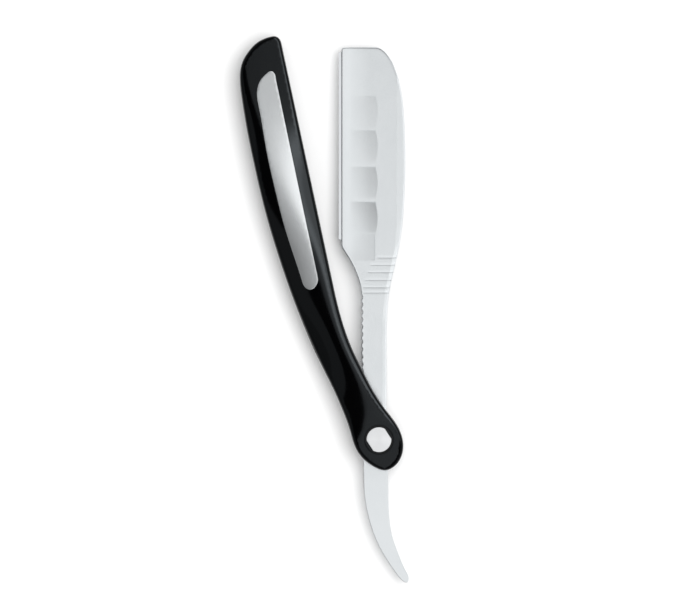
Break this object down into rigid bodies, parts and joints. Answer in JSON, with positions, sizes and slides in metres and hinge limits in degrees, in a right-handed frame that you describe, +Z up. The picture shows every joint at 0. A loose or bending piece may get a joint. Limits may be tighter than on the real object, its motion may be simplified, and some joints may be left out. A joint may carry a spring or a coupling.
{
  "type": "straight razor",
  "caption": "Folding barber razor: a glossy two-scale handle pivots on a steel holder whose sprung jaw grips a long disposable strip blade, with a curved finger tail.",
  "frame": {"origin": "on the pivot axis, in the plane that the back scale lies on", "axes": "+Z up through the thickness, +Y along the blade holder towards its head, the blade's edge faces -X"},
  "size_m": [0.0507, 0.1638, 0.0101],
  "materials": {
    "handle_black": "high gloss",
    "inlay_metal": "fine brushed",
    "spacer_black": "satin",
    "screw_steel": "turned",
    "post_steel": "ground",
    "insert_brass": "knurled",
    "pivot_steel": "turned face",
    "washer_nylon": "moulded",
    "holder_steel": "bead blasted",
    "bush_brass": "turned",
    "pin_steel": "ground",
    "spring_steel": "tempered",
    "blade_steel": "polished"
  },
  "bodies": {
    "handle": {"front_scale": "handle_black", "back_scale": "handle_black", "inlay_plate": "inlay_metal", "end_spacer": "spacer_black", "end_screw": "screw_steel", "end_insert": "insert_brass", "stop_post": "post_steel", "pivot_post": "pivot_steel", "pivot_screw": "screw_steel", "front_washer": "washer_nylon", "back_washer": "washer_nylon"},
    "holder": {"holder_body": "holder_steel", "eye_bush": "bush_brass", "jaw_hinge_pin": "pin_steel", "leaf_spring": "spring_steel", "spring_rivet": "pin_steel", "upper_peg": "pin_steel", "lower_peg": "pin_steel"},
    "jaw": {"clamp_jaw": "holder_steel"},
    "blade": {"blade": "blade_steel"}
  },
  "joints": [
    {"name": "fold", "type": "hinge", "parent": "handle", "child": "holder", "pos_m": [0, 0, 0.005], "axis": [0, 0, 1], "range_deg": [-325, 13.4]},
    {"name": "jaw_open", "type": "hinge", "parent": "holder", "child": "jaw", "pos_m": [-0.001, 0.048, 0.005], "axis": [1, 0, 0], "range_deg": [0, 0.7], "stiffness_Nm_per_rad": 0.5, "springref_deg": -11.46, "deforming": ["leaf_spring"]},
    {"name": "blade_slide", "type": "slide", "parent": "holder", "child": "blade", "axis": [-1, 0, 0], "range_m": [0, 0.008]}
  ]
}
